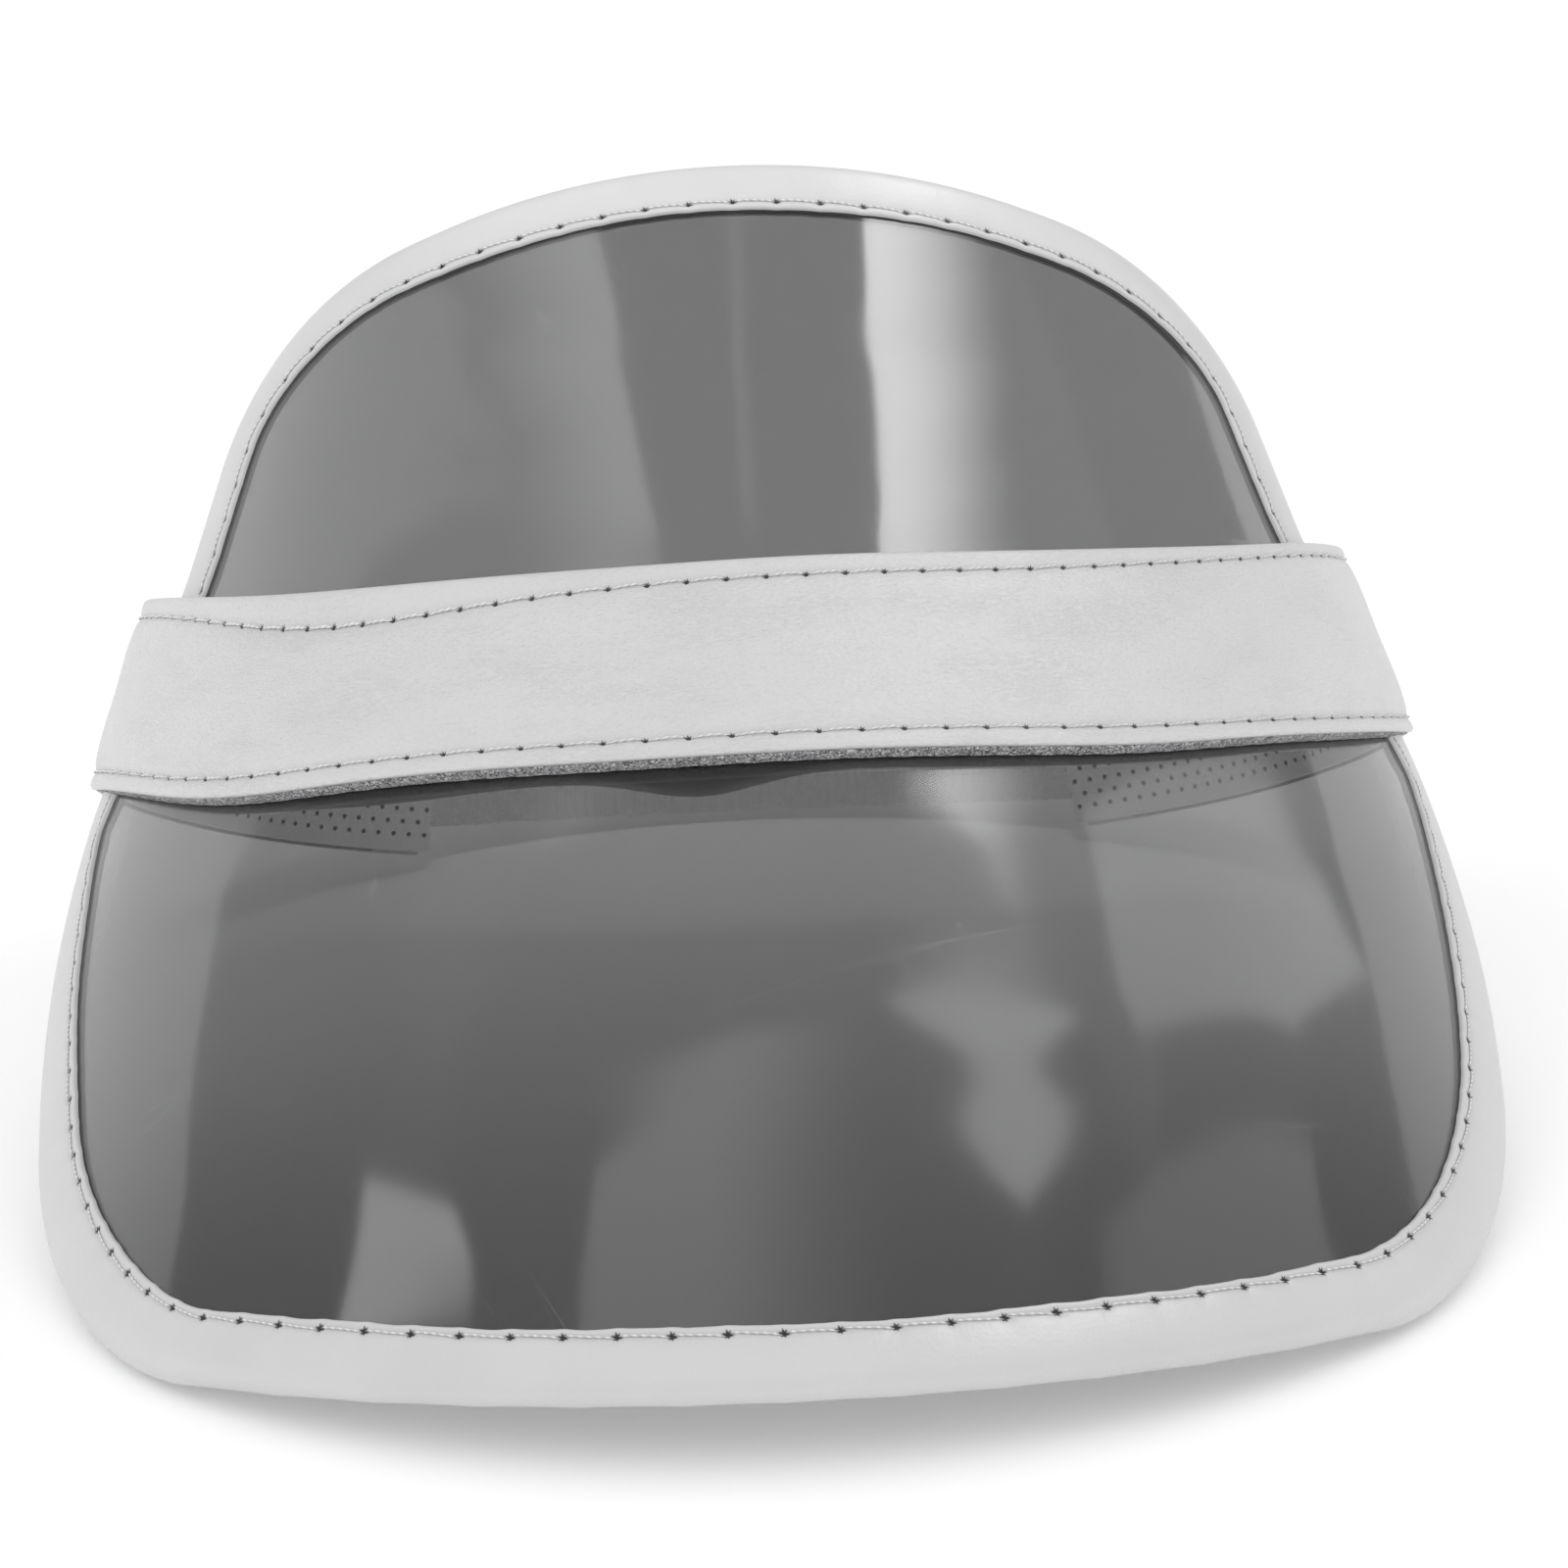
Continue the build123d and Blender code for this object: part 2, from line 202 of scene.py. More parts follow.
# How finely the pieces are divided.
RIM_POINTS, CORNER_STEPS, GAP_STEPS, PEAK_STEPS = 2400, 40, 12, 8
SHEET_RINGS, SHEET_COLUMNS = 44, 700
STRIP_STEPS = 1200
STITCH_COLUMNS, STITCH_SIDES = 8, 6
TAPE_COLUMNS, SKIN_COLUMNS, SLAB_COLUMNS = 12, 8, 6  # for each stitch
ELASTIC_COLUMNS = 304  # for each half

# The rim, seen from the front: angle round the head, height, and radius of each corner.
CROWN_TOP, CROWN_RADIUS = 65.5, 120.0
RIM_CORNERS = [
    (62.0, 51.0, 43.0),
    (64.7, 11.5, 56.0),
    (81.2, -21.5, 40.0),
    (68.7, -43.7, 80.0),
    (53.4, -72.5, 23.0),
]

# ---- The cone ---------------------------------------------------------------------------

front_slope = math.tan(LEAN + HALF_ANGLE)
rear_slope = math.tan(LEAN - HALF_ANGLE)
roundness = math.sqrt(1 - (math.sin(LEAN) / math.cos(HALF_ANGLE)) ** 2)
apex_height = HALF_WIDTH / ((front_slope - rear_slope) / 2 * roundness)
half_depth = apex_height * (front_slope - rear_slope) / 2
apex_y = apex_height * (front_slope + rear_slope) / 2
apex = np.array([0, apex_y, apex_height])
axis = np.array([0, -math.sin(LEAN), -math.cos(LEAN)])
forward = np.array([0, -math.cos(LEAN), math.sin(LEAN)])
sideways = np.array([1.0, 0, 0])

mount = frame["record"]["mounts"][0]
tip = math.atan2(-mount["axis"][1], -mount["axis"][2])
place = Matrix.Translation(Vector(mount["pos_m"])) @ Matrix.Rotation(-tip, 4, "X")
place_turn = np.array(place.to_3x3())
place_shift = np.array(place.translation)


def smooth(x):
    x = np.clip(x, 0, 1)
    return x * x * (3 - 2 * x)


def bump_at(x, centre, width):
    """A smooth hump, 1 at its centre."""
    return np.exp(-(((x - centre) / width) ** 2))


def ring(azimuth, z):
    """Points of the cone at an angle round the head, in degrees, and a height."""
    share = (apex_height - z) / apex_height
    angle = np.radians(azimuth)
    x = HALF_WIDTH * share * np.sin(angle)
    y = apex_y * (1 - share) - half_depth * share * np.cos(angle)
    return np.stack([x, y, z + 0 * x], -1)


def turn_at(x, z):
    """Angle round the head at a distance from its middle plane and a height."""
    reach = HALF_WIDTH * (apex_height - z) / apex_height
    return np.degrees(np.arcsin(x / reach))


def normals(points):
    """Outward normals of the cone."""
    arm = points - apex
    radial = arm - (arm @ axis)[..., None] * axis
    radial /= np.linalg.norm(radial, axis=-1, keepdims=True)
    return radial * math.cos(HALF_ANGLE) - axis * math.sin(HALF_ANGLE)


def unrolled(points):
    """Points of the cone, laid out flat."""
    arm = points - apex
    down = arm @ axis
    turn = np.arctan2(arm @ sideways, arm @ forward) * math.sin(HALF_ANGLE)
    reach = down / math.cos(HALF_ANGLE)
    return np.stack([reach * np.sin(turn), -reach * np.cos(turn)], -1)


def rolled(flat):
    """The flat layout, bent back on the cone."""
    reach = np.hypot(flat[..., 0], flat[..., 1])
    turn = np.arctan2(flat[..., 0], -flat[..., 1]) / math.sin(HALF_ANGLE)
    radial = np.cos(turn)[..., None] * forward + np.sin(turn)[..., None] * sideways
    down, out = reach * math.cos(HALF_ANGLE), reach * math.sin(HALF_ANGLE)
    return apex + down[..., None] * axis + out[..., None] * radial


def ripple(points):
    """The slight unevenness of a bent sheet, shared by everything that lies on it."""
    x, y, z = points[..., 0], points[..., 1], points[..., 2]
    long_wave = 0.045 * np.sin(x / 15.0 + z / 34.0 + 0.6) * np.cos(z / 21.0 - 0.3)
    short_wave = 0.012 * np.sin(x / 6.5 - z / 17.0 + 2.0) * np.sin(z / 9.0 + 1.0)
    return (long_wave + short_wave) * smooth((25 - y) / 30)


def lifted(points, height):
    """Points at a distance outside the cone."""
    return points + normals(points) * (height + ripple(points))[..., None]


def rested(points):
    """Points of the head's frame, in metres, where the visor rests."""
    return points * MM @ place_turn.T + place_shift


# ---- Camera -----------------------------------------------------------------------------

CAMERA_PLACE, CAMERA_LENS = (-3.3, -550.5, -1.6), 90.2
CAMERA_YAW, CAMERA_TILT, CAMERA_ROLL = -0.79, 88.52, -2.49

bpy.ops.object.select_all(action="DESELECT")
bpy.ops.object.camera_add()
camera = bpy.context.object
camera.data.lens = CAMERA_LENS
camera.data.sensor_width = 36.0
aim = (
    Matrix.Rotation(math.radians(CAMERA_YAW), 4, "Z")
    @ Matrix.Rotation(math.radians(CAMERA_TILT), 4, "X")
    @ Matrix.Rotation(math.radians(CAMERA_ROLL), 4, "Z")
)
camera.matrix_world = place @ Matrix.Translation(Vector(CAMERA_PLACE) * MM) @ aim
bpy.context.scene.camera = camera

# ---- Making pieces ----------------------------------------------------------------------


def vertex_places(piece):
    where = np.empty(len(piece.data.vertices) * 3)
    piece.data.vertices.foreach_get("co", where)
    return where.reshape(-1, 3)


def reshape(piece, places, uv=None):
    """Puts a mesh's vertices at new places, and its map at uv."""
    mesh = piece.data
    mesh.vertices.foreach_set("co", places.astype(np.float32).ravel())
    if uv is not None:
        corner = np.empty(len(mesh.loops), int)
        mesh.loops.foreach_get("vertex_index", corner)
        mesh.uv_layers[0].data.foreach_set("uv", uv[corner].astype(np.float32).ravel())
    mesh.update()


def flat_grid(name, along, across):
    """A flat grid, and the column and row of each of its vertices."""
    bpy.ops.object.select_all(action="DESELECT")
    bpy.ops.mesh.primitive_grid_add(x_subdivisions=along, y_subdivisions=across, size=1)
    piece = bpy.context.object
    piece.name = piece.data.name = name
    where = vertex_places(piece)
    column = np.rint((where[:, 0] + 0.5) * along).astype(int)
    row = np.rint((where[:, 1] + 0.5) * across).astype(int)
    return piece, column, row


def close_up(piece, crease=50.0):
    """Welds a rolled grid's meeting edges, closes its ends and turns its faces outwards."""
    bpy.ops.object.mode_set(mode="EDIT")
    bpy.ops.mesh.select_mode(type="VERT")
    bpy.ops.mesh.select_all(action="SELECT")
    bpy.ops.mesh.remove_doubles(threshold=1e-6)
    bpy.ops.mesh.select_all(action="DESELECT")
    bpy.ops.mesh.select_non_manifold(extend=False)
    bpy.ops.mesh.fill_holes(sides=0)
    bpy.ops.mesh.select_all(action="SELECT")
    bpy.ops.mesh.normals_make_consistent(inside=False)
    bpy.ops.object.mode_set(mode="OBJECT")
    bpy.ops.object.shade_smooth_by_angle(angle=math.radians(crease))
    return piece


def swept(name, along, section, shape):
    """A closed section carried along a path. shape gives points and map from each vertex's
    column and its place in the section."""
    piece, column, row = flat_grid(name, along, len(section) - 1)
    points, uv = shape(column / along, section[row, 0], section[row, 1])
    reshape(piece, rested(points), uv)
    return close_up(piece)


def ring_of(points):
    """A section as an array that ends where it starts."""
    return np.array(list(points) + [points[0]], float)


def one_stitch(name, length, radius, rise):
    """One thread stitch: a fine tube that comes up at one hole and goes down at the next."""
    piece, column, row = flat_grid(name, STITCH_COLUMNS, STITCH_SIDES)
    run = column / STITCH_COLUMNS - 0.5
    turn = row / STITCH_SIDES * 2 * math.pi
    width = radius * np.sqrt(np.clip(1 - (2 * run) ** 8, 0.1, 1))
    arch = rise * np.cos(run * math.pi) - 2.2 * rise * (2 * np.abs(run)) ** 6
    tube = np.stack([run * length, np.cos(turn) * width, arch + np.sin(turn) * width], -1)
    reshape(piece, tube, np.stack([run * length, row / STITCH_SIDES], -1))
    return close_up(piece, 80.0)


def stitch_row(name, count, pitch, length, radius, rise, shape):
    """A row of stitches. shape gives points from the run in pitches, offset and height."""
    piece = one_stitch(name, length, radius, rise)
    array = piece.modifiers.new("Row", "ARRAY")
    array.count = count
    array.use_relative_offset = False
    array.use_constant_offset = True
    array.constant_offset_displace = (pitch, 0, 0)
    bpy.ops.object.modifier_apply(modifier="Row")
    where = vertex_places(piece)
    run = where[:, 0] / pitch + 0.5
    number = np.floor(run)
    skew = 0.3 + 0.12 * np.sin(number * 2.3) + 0.08 * np.sin(number * 5.1 + 1)
    offset = where[:, 1] + skew * (run - number - 0.5)
    reshape(piece, rested(shape(run, offset, where[:, 2])))
    return piece


def joined(name, pieces):
    """Several meshes as one piece."""
    bpy.ops.object.select_all(action="DESELECT")
    for piece in pieces:
        piece.select_set(True)
    bpy.context.view_layer.objects.active = pieces[0]
    bpy.ops.object.join()
    pieces[0].name = pieces[0].data.name = name
    return pieces[0]


# ---- The rim ----------------------------------------------------------------------------


def rim_outline():
    """The rim as even points laid out flat."""
    right = []
    for azimuth, z, radius in RIM_CORNERS:
        right.append((float(ring(azimuth, z)[0]), z, radius))
    peak = CROWN_TOP
    for _ in range(PEAK_STEPS):
        slope = math.atan2(peak - right[0][1], right[0][0])
        peak = CROWN_TOP + CROWN_RADIUS * (1 / math.cos(slope) - 1)
    left = [(-x, z, radius) for x, z, radius in reversed(right)]
    corners = [(0.0, peak, CROWN_RADIUS)] + right + left
    spots = np.array([c[:2] for c in corners])
    before, after = np.roll(spots, 1, 0), np.roll(spots, -1, 0)
    into = (spots - before) / np.linalg.norm(spots - before, axis=1)[:, None]
    out = (after - spots) / np.linalg.norm(after - spots, axis=1)[:, None]
    turns = np.arccos(np.clip((into * out).sum(1), -1, 1))
    reach = np.array([c[2] for c in corners]) * np.tan(turns / 2)
    room = np.linalg.norm(after - spots, axis=1) / (reach + np.roll(reach, -1))
    share = np.minimum(1, 0.98 * np.minimum(room, np.roll(room, 1)))
    path = []
    for i, spot in enumerate(spots):
        cut = reach[i] * share[i]
        start, end = spot - into[i] * cut, spot + out[i] * cut
        bend = cut / math.tan(turns[i] / 2)
        side = np.sign(into[i][0] * out[i][1] - into[i][1] * out[i][0])
        centre = start + bend * side * np.array([-into[i][1], into[i][0]])
        first = start - centre
        for k in range(CORNER_STEPS + 1):
            a = side * turns[i] * k / CORNER_STEPS
            turned = (
                first[0] * math.cos(a) - first[1] * math.sin(a),
                first[0] * math.sin(a) + first[1] * math.cos(a),
            )
            path.append(centre + turned)
        following = (i + 1) % len(spots)
        gap_end = spots[following] - out[i] * reach[following] * share[following]
        for k in range(1, GAP_STEPS):
            path.append(end + (gap_end - end) * k / GAP_STEPS)
    x, z = np.array(path).T
    return evened(unrolled(ring(turn_at(x, z), z)), RIM_POINTS)


def inward_of(flat):
    """Unit directions into the sheet along the closed rim, eased over a few points."""
    run = np.roll(flat, -3, 0) - np.roll(flat, 3, 0)
    turned = np.stack([run[:, 1], -run[:, 0]], -1)
    for _ in range(3):
        turned = turned + np.roll(turned, 6, 0) + np.roll(turned, -6, 0)
    return turned / np.linalg.norm(turned, axis=1)[:, None]


def evened(flat, count):
    """The same closed line with evenly spaced points."""
    closed = np.vstack([flat, flat[:1]])
    steps = np.linalg.norm(np.diff(closed, axis=0), axis=1)
    walked = np.concatenate([[0], np.cumsum(steps)])
    due = np.linspace(0, walked[-1], count, endpoint=False)
    return np.stack([np.interp(due, walked, closed[:, k]) for k in (0, 1)], -1)


rim = rim_outline()
rim_inward = inward_of(rim)
seam_line = rim + rim_inward * RIM_SEAM
seam_steps = np.linalg.norm(np.roll(seam_line, -1, 0) - seam_line, axis=1)
seam_walk = np.concatenate([[0], np.cumsum(seam_steps)])
rim_count = round(seam_walk[-1] / RIM_PITCH)


def rim_points(run, inset):
    """Flat places at a run along the rim, in stitches, and a true inset from it."""
    due = np.mod(run, rim_count) / rim_count * seam_walk[-1]
    at = np.interp(due, seam_walk, np.arange(len(seam_walk)))
    low = np.floor(at).astype(int)
    share = (at - low)[:, None]
    low, high = low % len(rim), (low + 1) % len(rim)
    spot = rim[low] * (1 - share) + rim[high] * share
    inward = rim_inward[low] * (1 - share) + rim_inward[high] * share
    return spot + inward * inset[:, None]


# ---- Sheet and binding ------------------------------------------------------------------


def make_sheet():
    """The bent sheet: rings that shrink to the middle on both of its faces."""
    shares = np.linspace(0, 1, SHEET_RINGS + 1)
    section = [(s, 0.0) for s in shares] + [(s, -SHEET_THICKNESS) for s in shares[::-1]]
    middle = unrolled(ring(0.0, np.array(-4.0)))

    def shape(run, share, height):
        edge = rim_points(run * rim_count, np.full(len(run), SHEET_INSET))
        flat = middle + (edge - middle) * share[:, None]
        return lifted(rolled(flat), height), flat

    return swept("sheet", SHEET_COLUMNS, np.array(section), shape)


# The tape's outer face: inset from the rim, and height above the sheet.
TAPE_TOP = [
    (8.50, 0.02),
    (8.47, 0.34),
    (8.34, 0.52),
    (8.12, 0.62),
    (7.85, 0.63),
    (7.60, 0.58),
    (7.40, 0.55),
    (7.18, 0.59),
    (6.85, 0.68),
    (6.30, 0.80),
    (5.40, 0.93),
    (4.30, 1.02),
    (3.20, 1.06),
    (2.20, 1.05),
    (1.35, 0.96),
    (0.70, 0.76),
    (0.26, 0.46),
    (0.04, 0.08),
]


def make_binding():
    """The tape folded over the rim, drawn in along its seam."""
    under = [(w, -SHEET_THICKNESS - n) for w, n in reversed(TAPE_TOP)]
    insets = (7.0, 4.0, SHEET_INSET)
    inside = [(w, -SHEET_THICKNESS) for w in insets] + [(w, 0.0) for w in insets[::-1]]
    section = ring_of(TAPE_TOP + [(-0.02, -0.3)] + under + inside)

    def shape(run, inset, height):
        stitches = run * rim_count
        near_hole = (stitches - np.rint(stitches)) * RIM_PITCH
        outside = height + SHEET_THICKNESS / 2
        skin = (np.abs(outside) > 0.5) * np.sign(outside)
        dip = 0.26 * bump_at(near_hole, 0, 0.62) * bump_at(inset, RIM_SEAM, 0.55)
        draw = 0.07 * bump_at(near_hole, 0, 1.3) * bump_at(inset, 6.0, 1.5)
        swell = 0.05 * np.sin(stitches * 0.71) + 0.04 * np.sin(stitches * 0.33 + 2)
        body = bump_at(inset, 3.0, 3.0)
        height = height - skin * (dip + draw - swell * body)
        wander = 0.10 * np.sin(stitches * 0.9) + 0.10 * bump_at(near_hole, 0, 0.9) - 0.03
        free_edge = smooth((inset - 6.8) / 1.6)
        flat = rim_points(stitches, inset + wander * free_edge)
        return lifted(rolled(flat), height), np.stack([stitches, inset], -1)

    return swept("binding", rim_count * TAPE_COLUMNS, section, shape)


def rim_stitches(name, under):
    """The binding's stitches on one face of the visor."""

    def shape(run, offset, height):
        flat = rim_points(run, RIM_SEAM + offset)
        level = RIM_THREAD_LEVEL + height
        return lifted(rolled(flat), -SHEET_THICKNESS - level if under else level)

    length = RIM_PITCH * 0.94
    return stitch_row(name, rim_count, RIM_PITCH, length, RIM_THREAD, 0.08, shape)


# ---- Band, tails and elastic ------------------------------------------------------------

temple_half = HALF_BAND * math.cos(LEAN)
front_half = HALF_BAND * math.cos(LEAN + HALF_ANGLE)
hinge_point = ring(HINGE, np.array(0.0))
end_azimuth = 180 - float(turn_at(TAIL_END, 0.0))


def edge_wander(azimuth, across):
    """How far the band's edges sit below a true strip: the cloth side is a little slack."""
    top = 1.0 * bump_at(azimuth, -43, 20) - 0.45 * bump_at(azimuth, 6, 14)
    top -= 0.4 * bump_at(azimuth, 62, 14)
    bottom = 2.0 * bump_at(azimuth, -46, 16) - 0.35 * bump_at(azimuth, 4, 13)
    bottom += 0.5 * bump_at(azimuth, 30, 11)
    return top * (1 + across) / 2 + bottom * (1 - across) / 2


def seam_drift(azimuth, offset):
    """Where a place across the strip really lies: the upper seam dips away from its edge."""
    dip = -3.0 * bump_at(azimuth, -35, 17)
    rise = smooth((azimuth - 15) / 45) * (1 - smooth((np.abs(azimuth) - HINGE) / 25))
    upper = np.clip(offset / BAND_SEAM, 0, 1)
    upper = np.minimum(upper, np.clip((HALF_BAND - offset) / (HALF_BAND - BAND_SEAM), 0, 1))
    lower = np.clip(-offset / BAND_SEAM, 0, 1)
    lower = np.minimum(lower, np.clip((HALF_BAND + offset) / (HALF_BAND - BAND_SEAM), 0, 1))
    return offset + upper * (dip + 1.0 * rise) - lower * (0.35 + 0.4 * rise)


def front_height(azimuth, across):
    """Height of the front band's strip before its edges wander."""
    cosine = np.cos(np.radians(azimuth))
    growth = (temple_half - front_half) / half_depth
    rise = (apex_y + half_depth * cosine) / apex_height
    level = across * (temple_half - growth * half_depth * cosine)
    return level / (1 - across * growth * rise)


def strip_height(azimuth, across):
    """Height of the band and tails at an angle round the head; across is -1 to 1."""
    cosine = np.cos(np.radians(azimuth))
    rise = (apex_y + half_depth * cosine) / apex_height
    back = np.clip(-(hinge_point[1] + half_depth * cosine), 0, None)
    fall = TAIL_FALL * back**2 / (back + TAIL_EASE) * (TAIL_LENGTH + TAIL_EASE) / TAIL_LENGTH
    share = smooth((np.abs(azimuth) - HINGE) / 30)
    half = front_height(HINGE, across) * (1 - share)
    half = half + across * temple_half / (1 + rise * TAIL_FALL) * share
    tail = half - fall / (1 + rise * TAIL_FALL)
    height = np.where(np.abs(azimuth) <= HINGE, front_height(azimuth, across), tail)
    return height - edge_wander(azimuth, across)


def strip_points(azimuth, offset, height):
    """Points on the strip: offset is across from its middle in millimetres."""
    return lifted(ring(azimuth, strip_height(azimuth, offset / HALF_BAND)), height)


class Strip:
    """A stretch of the band or of a tail, measured in stitches."""

    def __init__(self, start, end):
        self.azimuths = np.linspace(start, end, STRIP_STEPS)
        line = strip_points(self.azimuths, np.zeros(STRIP_STEPS), np.zeros(STRIP_STEPS))
        steps = np.linalg.norm(np.diff(line, axis=0), axis=1)
        self.walk = np.concatenate([[0], np.cumsum(steps)])
        self.length = self.walk[-1]
        self.count = round(self.length / BAND_PITCH)

    def azimuth(self, run):
        """Angle at a run in stitches."""
        return np.interp(run / self.count * self.length, self.walk, self.azimuths)


band = Strip(-HINGE, HINGE)
tails = {"right": Strip(HINGE, end_azimuth), "left": Strip(-HINGE, -end_azimuth)}

# Where the cover's outer face is divided across, as far as its middle.
SKIN_TOP = [-14.96, -14.8, -14.5, -14.1, -13.6, -13.0, -12.55, -12.25, -12.0, -11.75]
SKIN_TOP += [-11.45, -11.0, -10.3, -9.2, -7.8, -6.0, -4.0, -2.0, 0.0]


def skin_section():
    """The cover's section: puffed between its seams, rolled at its edges."""
    half = [(a, skin_level(a)) for a in SKIN_TOP]
    top = half + [(-a, n) for a, n in reversed(half[:-1])]
    edge = [(HALF_BAND, 1.98), (14.93, 1.72), (14.7, COVER_INSIDE)]
    under = edge + [(a, COVER_INSIDE) for a in (10.0, 0.0, -10.0)]
    return ring_of(top + under + [(-a, n) for a, n in reversed(edge)])


def skin_level(offset):
    """Height of the cover's outer face across the strip."""
    across = abs(offset)
    seam = 0.26 * float(bump_at(across, BAND_SEAM, 0.75))
    crown = 0.42 * (1 - (min(across, 11.6) / 11.6) ** 4)
    rolled_edge = 0.42 * max(0.0, (across - 14.2) / 0.8) ** 2
    return COVER_OUTSIDE + crown - seam - rolled_edge


def make_skin(name, strip):
    """The outer cover of the band or of a tail."""

    def shape(run, offset, height):
        stitches = run * strip.count
        near_hole = (stitches - np.rint(stitches)) * BAND_PITCH
        outer = smooth((height - 2.0) / 0.2)
        at_seam = bump_at(np.abs(offset), BAND_SEAM, 0.5)
        dip = 0.3 * bump_at(near_hole, 0, 0.5) * at_seam
        pull = 0.10 * bump_at(near_hole, 0, 1.1) * bump_at(np.abs(offset), 10.6, 1.3)
        slack = 0.07 * np.sin(stitches * 0.83 + offset * 0.21)
        slack += 0.06 * np.sin(stitches * 0.37 - offset * 0.33 + 1.0)
        slack = slack * bump_at(offset, 0, 9)
        height = height - outer * (dip + pull + slack)
        uv = np.stack([stitches, offset], -1)
        azimuth = strip.azimuth(stitches)
        return strip_points(azimuth, seam_drift(azimuth, offset), height), uv

    return swept(name, strip.count * SKIN_COLUMNS, skin_section(), shape)


def slab_section(half, low, high, corner):
    """A strip's plain section with rounded corners."""
    inner = half - corner
    arc = [math.radians(a) for a in (0, 30, 60, 90)]
    top = [(inner + corner * math.sin(a), high - corner + corner * math.cos(a)) for a in arc]
    low_arc = [(inner + corner * math.cos(a), low + corner - corner * math.sin(a)) for a in arc]
    across = [(inner * k / 4, high) for k in range(-3, 4)]
    back = [(inner * k / 4, low) for k in range(3, -4, -1)]
    left = [(-w, n) for w, n in reversed(low_arc)] + [(-w, n) for w, n in reversed(top)]
    return ring_of(across + top + low_arc + back + left)


def make_padding(name, strip, stop=0):
    """Foam between the cover and what lies inside it. It ends stop stitches early."""
    section = slab_section(HALF_BAND + 0.02, 0.04, COVER_INSIDE - 0.02, 0.3)

    def shape(run, offset, height):
        stitches = run * (strip.count - stop)
        rough = 0.05 * np.sin(stitches * 7.0 + height * 3) * (np.abs(offset) > 14)
        azimuth = strip.azimuth(stitches)
        return strip_points(azimuth, offset + rough, height), np.stack([stitches, offset], -1)

    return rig.padded(swept(name, strip.count * SLAB_COLUMNS, section, shape), fill=0.5)


def make_lining(name, strip):
    """Sweatband lining inside the sheet, coming out to the cover behind the temples."""
    section = slab_section(14.9, -LINING_THICKNESS, -0.04, 0.45)

    def shape(run, offset, height):
        stitches = run * strip.count
        azimuth = strip.azimuth(stitches)
        behind_sheet = SHEET_THICKNESS * (1 - smooth((np.abs(azimuth) - 76) / 8))
        soft = 0.08 * np.sin(stitches * 0.9 + offset * 0.3) * (height < -1.2)
        sag = 3.0 * bump_at(azimuth, -4.5, 6.0) + 1.0 * bump_at(azimuth, -30, 9)
        low_side = np.clip((-offset - 6) / 9, 0, 1)
        points = strip_points(azimuth, offset - sag * low_side, height - behind_sheet - soft)
        return points, np.stack([stitches * BAND_PITCH, offset], -1)

    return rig.padded(swept(name, strip.count * SLAB_COLUMNS, section, shape), fill=0.4)


def strip_stitches(name, strip, side, stop=0):
    """A seam along one edge of the band or of a tail. It ends stop stitches early."""
    length = BAND_PITCH * 0.88
    level = COVER_OUTSIDE - 0.13

    def shape(run, offset, height):
        azimuth = strip.azimuth(run)
        across = seam_drift(azimuth, side * BAND_SEAM + offset)
        return strip_points(azimuth, across, level + height)

    count = strip.count - stop
    return stitch_row(name, count, BAND_PITCH, length, BAND_THREAD, 0.12, shape)


def tack_stitches(name, side, inset):
    """Stitches up a tail's end, through the elastic."""

    def shape(run, offset, height):
        z = ELASTIC_MIDDLE + (run * TACK_PITCH - ELASTIC_WIDTH / 2)
        azimuth = 180 - turn_at(TAIL_END + inset + offset, z)
        return lifted(ring(side * azimuth, z), COVER_OUTSIDE + 0.05 + height)

    length = TACK_PITCH * 0.84
    return stitch_row(name, TACK_COUNT, TACK_PITCH, length, BAND_THREAD, 0.12, shape)


def make_elastic(name, side):
    """Half of the rear elastic, gathered into fine upright ribs."""
    section = slab_section(ELASTIC_WIDTH / 2, 0.25, 1.35, 0.3)

    def shape(run, offset, height):
        x = side * run * ELASTIC_END
        z = ELASTIC_MIDDLE + offset
        azimuth = 180 - turn_at(np.abs(x), z)
        free = 1 - smooth((np.abs(x) - TAIL_END + 3) / 4)
        phase = x / ELASTIC_RIB * 2 * math.pi + 0.5 * np.sin(offset * 0.9 + x * 0.4)
        gather = 0.34 * np.cos(phase) * free
        frill = 0.12 * np.cos(phase * 0.5) * smooth((np.abs(offset) - 8) / 2.2) * free
        scallop = 0.07 * np.cos(phase) * smooth((np.abs(offset) - 9) / 1.2) * free
        z = z + scallop * np.sign(offset)
        points = lifted(ring(side * azimuth, z), height + gather + frill)
        return points, np.stack([x, offset], -1)

    return swept(name, ELASTIC_COLUMNS, section, shape)


# ---- Finishes ---------------------------------------------------------------------------


